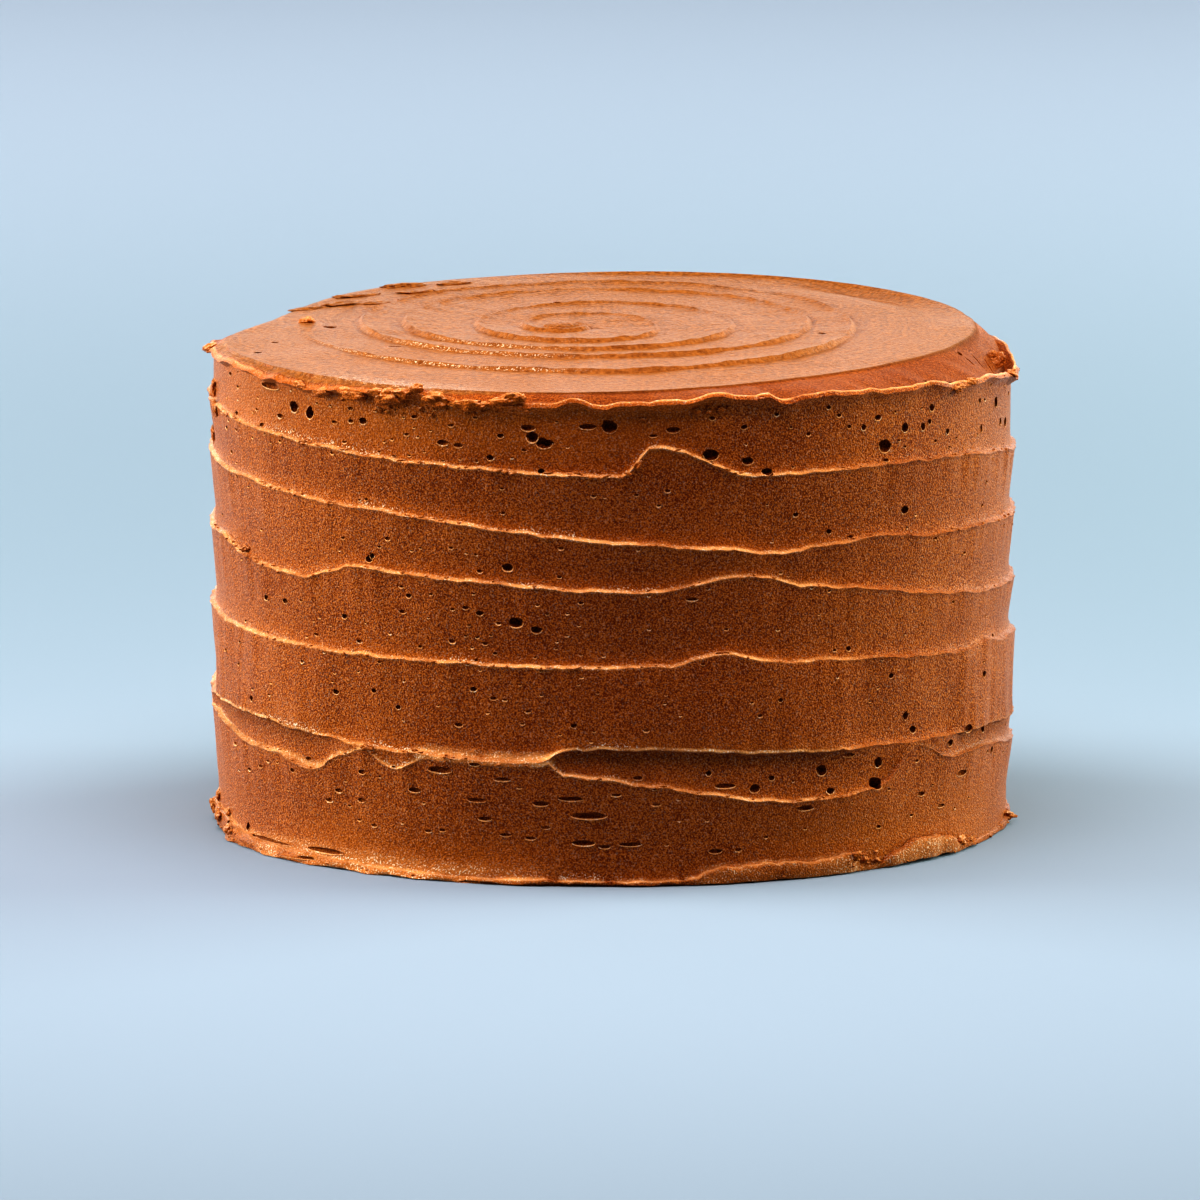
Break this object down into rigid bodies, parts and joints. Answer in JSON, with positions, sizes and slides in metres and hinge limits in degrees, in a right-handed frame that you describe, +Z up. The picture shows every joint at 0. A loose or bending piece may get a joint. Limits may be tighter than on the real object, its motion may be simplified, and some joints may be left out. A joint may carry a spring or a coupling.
{
  "type": "chocolate cake",
  "caption": "Tall round chocolate cake, uncut, coated in chocolate icing with a knife ridge winding down the side, a raised ragged lip and a knife spiral on top.",
  "frame": {"origin": "middle of the flat base, on the surface that the cake stands on", "axes": "+Z up through the middle of the cake; -Y faces the viewer of the picture and +X is to that viewer's right"},
  "size_m": [0.2017, 0.2024, 0.1247],
  "materials": {
    "chocolate_icing": "soft satin icing, knife-smoothed"
  },
  "bodies": {
    "root": {"frosted_cake": "chocolate_icing"}
  },
  "joints": []
}
